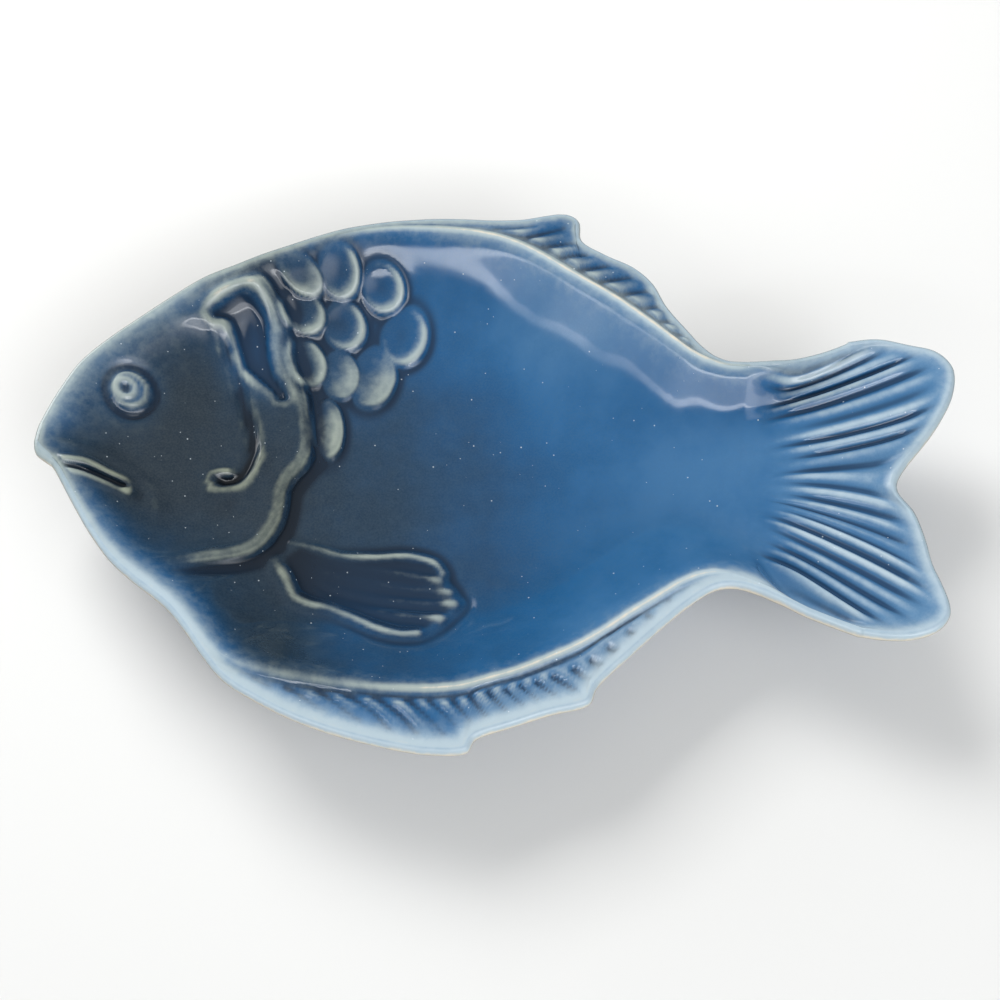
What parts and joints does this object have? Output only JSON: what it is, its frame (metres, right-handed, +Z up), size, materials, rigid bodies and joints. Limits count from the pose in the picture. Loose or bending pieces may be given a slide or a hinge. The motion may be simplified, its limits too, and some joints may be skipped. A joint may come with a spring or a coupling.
{
  "type": "fish shaped platter",
  "caption": "Deep fish-shaped serving platter in blue glazed earthenware, with relief head, scales, fins and ribbed tail, on an oval foot ring.",
  "frame": {"origin": "on the table, at the middle of the overall box", "axes": "+X from the nose to the tail, +Y to the back fin, +Z up out of the bowl"},
  "size_m": [0.305, 0.2, 0.0412],
  "materials": {
    "clay": "matt cream earthenware",
    "bare_clay": "matt, lightly ground on the table side",
    "face_glaze": "high gloss blue that breaks to pale cream on the crests and pools dark in the recesses",
    "back_glaze": "high gloss blue, plainer and even"
  },
  "bodies": {
    "root": {"clay_body": "clay", "foot_ring": "bare_clay", "face_glaze": "face_glaze", "back_glaze": "back_glaze"}
  },
  "joints": []
}
